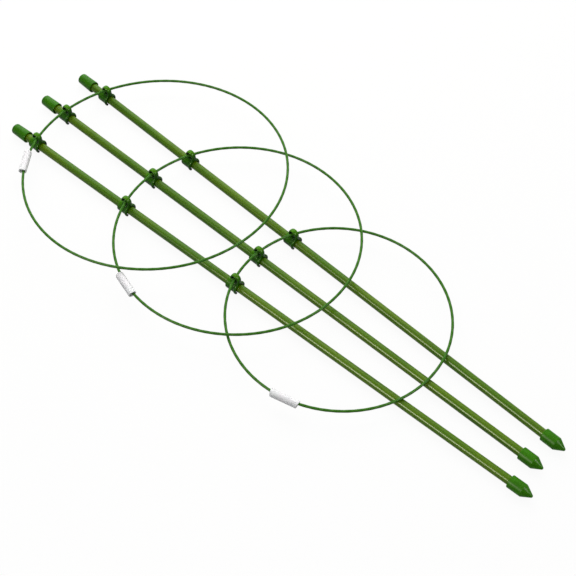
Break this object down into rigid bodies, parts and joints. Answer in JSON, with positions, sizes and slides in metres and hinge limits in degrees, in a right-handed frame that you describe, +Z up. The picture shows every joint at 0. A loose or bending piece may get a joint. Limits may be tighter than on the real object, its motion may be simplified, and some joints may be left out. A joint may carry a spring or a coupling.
{
  "type": "plant support ring stake",
  "caption": "Folding plant support: green coated stakes with caps and pointed feet, tied by wire rings that hook into snap clips and close with white sleeves.",
  "frame": {"origin": "middle of the footprint, on the ground the stakes lie on", "axes": "+X along the middle stake towards its point, +Y across to the back stake, +Z up"},
  "size_m": [0.6094, 0.2444, 0.0253],
  "materials": {
    "steel": "plain drawn steel, covered by its coat",
    "stake_coat": "glossy green coat",
    "wire_coat": "satin green coat",
    "clip_plastic": "moulded, slightly glossy",
    "cap_plastic": "moulded, glossy",
    "sleeve_plastic": "milky flexible tube"
  },
  "bodies": {
    "middle_stake": {"middle_stake_tube": "steel", "middle_stake_coat": "stake_coat", "middle_cap": "cap_plastic", "middle_tip": "cap_plastic"},
    "upper_clip": {"upper_middle_clip": "clip_plastic"},
    "upper_ring": {"upper_ring_core": "steel", "upper_ring_coat": "wire_coat"},
    "upper_sleeve": {"upper_ring_sleeve": "sleeve_plastic"},
    "centre_clip": {"centre_middle_clip": "clip_plastic"},
    "centre_ring": {"centre_ring_core": "steel", "centre_ring_coat": "wire_coat"},
    "centre_sleeve": {"centre_ring_sleeve": "sleeve_plastic"},
    "lower_clip": {"lower_middle_clip": "clip_plastic"},
    "lower_ring": {"lower_ring_core": "steel", "lower_ring_coat": "wire_coat"},
    "lower_sleeve": {"lower_ring_sleeve": "sleeve_plastic"},
    "upper_front_clip": {"upper_front_clip": "clip_plastic"},
    "centre_front_clip": {"centre_front_clip": "clip_plastic"},
    "lower_front_clip": {"lower_front_clip": "clip_plastic"},
    "front_stake": {"front_stake_tube": "steel", "front_stake_coat": "stake_coat", "front_cap": "cap_plastic", "front_tip": "cap_plastic"},
    "upper_back_clip": {"upper_back_clip": "clip_plastic"},
    "centre_back_clip": {"centre_back_clip": "clip_plastic"},
    "lower_back_clip": {"lower_back_clip": "clip_plastic"},
    "back_stake": {"back_stake_tube": "steel", "back_stake_coat": "stake_coat", "back_cap": "cap_plastic", "back_tip": "cap_plastic"}
  },
  "joints": [
    {"name": "upper_ring_slide", "type": "slide", "parent": "middle_stake", "child": "upper_clip", "axis": [1, 0, 0], "range_m": [-0.006, 0.015]},
    {"name": "centre_ring_slide", "type": "slide", "parent": "middle_stake", "child": "centre_clip", "axis": [1, 0, 0], "range_m": [-0.015, 0.015]},
    {"name": "lower_ring_slide", "type": "slide", "parent": "middle_stake", "child": "lower_clip", "axis": [1, 0, 0], "range_m": [-0.015, 0.015]},
    {"name": "upper_ring_fold", "type": "hinge", "parent": "upper_clip", "child": "upper_ring", "pos_m": [-0.27067, -0.0022, 0.01525], "axis": [0, -1, 0], "range_deg": [0, 87.92]},
    {"name": "centre_ring_fold", "type": "hinge", "parent": "centre_clip", "child": "centre_ring", "pos_m": [-0.15067, -0.0022, 0.01525], "axis": [0, -1, 0], "range_deg": [0, 89.32]},
    {"name": "lower_ring_fold", "type": "hinge", "parent": "lower_clip", "child": "lower_ring", "pos_m": [-0.01567, -0.0022, 0.01525], "axis": [0, -1, 0], "range_deg": [0, 91.16]},
    {"name": "centre_front_pivot", "type": "hinge", "parent": "centre_ring", "child": "centre_front_clip", "pos_m": [-0.14339, -0.0424, 0.01534], "axis": [0, -1, 0], "range_deg": [-90.06, 0]},
    {"name": "front_stake_slide", "type": "slide", "parent": "centre_front_clip", "child": "front_stake", "axis": [0.9995, 0.0317, 0], "range_m": [-0.015, 0.015]},
    {"name": "upper_front_slide", "type": "slide", "parent": "front_stake", "child": "upper_front_clip", "axis": [0.9995, 0.0317, 0], "range_m": [-0.006, 0.015]},
    {"name": "lower_front_slide", "type": "slide", "parent": "front_stake", "child": "lower_front_clip", "axis": [0.9995, 0.0317, 0], "range_m": [-0.015, 0.015]},
    {"name": "centre_back_pivot", "type": "hinge", "parent": "centre_ring", "child": "centre_back_clip", "pos_m": [-0.14277, 0.03775, 0.01534], "axis": [0, -1, 0], "range_deg": [-89.19, 0]},
    {"name": "back_stake_slide", "type": "slide", "parent": "centre_back_clip", "child": "back_stake", "axis": [0.9995, -0.0317, 0], "range_m": [-0.015, 0.015]},
    {"name": "upper_back_slide", "type": "slide", "parent": "back_stake", "child": "upper_back_clip", "axis": [0.9995, -0.0317, 0], "range_m": [-0.006, 0.015]},
    {"name": "lower_back_slide", "type": "slide", "parent": "back_stake", "child": "lower_back_clip", "axis": [0.9995, -0.0317, 0], "range_m": [-0.015, 0.015]},
    {"name": "upper_sleeve_slide", "type": "hinge", "parent": "upper_ring", "child": "upper_sleeve", "pos_m": [-0.14977, 0, 0.01964], "axis": [-0.0363, 0, 0.9993], "range_deg": [0, 6.87]},
    {"name": "centre_sleeve_slide", "type": "hinge", "parent": "centre_ring", "child": "centre_sleeve", "pos_m": [-0.04119, -0.0031, 0.01655], "axis": [-0.0119, 0, 0.9999], "range_deg": [0, 7.59]},
    {"name": "lower_sleeve_slide", "type": "hinge", "parent": "lower_ring", "child": "lower_sleeve", "pos_m": [0.08077, -0.0049, 0.0133], "axis": [0.0202, 0, 0.9998], "range_deg": [0, 8.61]}
  ],
  "couplings": [
    {"joint": "upper_ring_fold", "follows": "centre_ring_fold", "ratio": 0.98435},
    {"joint": "lower_ring_fold", "follows": "centre_ring_fold", "ratio": 1.0206},
    {"joint": "centre_front_pivot", "follows": "centre_ring_fold", "ratio": -1.0083},
    {"joint": "front_stake_slide", "follows": "centre_ring_slide", "ratio": -0.994},
    {"joint": "upper_front_slide", "follows": "upper_ring_slide", "ratio": 0.994},
    {"joint": "lower_front_slide", "follows": "lower_ring_slide", "ratio": 0.994},
    {"joint": "centre_back_pivot", "follows": "centre_ring_fold", "ratio": -0.99855},
    {"joint": "back_stake_slide", "follows": "centre_ring_slide", "ratio": -0.994},
    {"joint": "upper_back_slide", "follows": "upper_ring_slide", "ratio": 0.994},
    {"joint": "lower_back_slide", "follows": "lower_ring_slide", "ratio": 0.994}
  ]
}
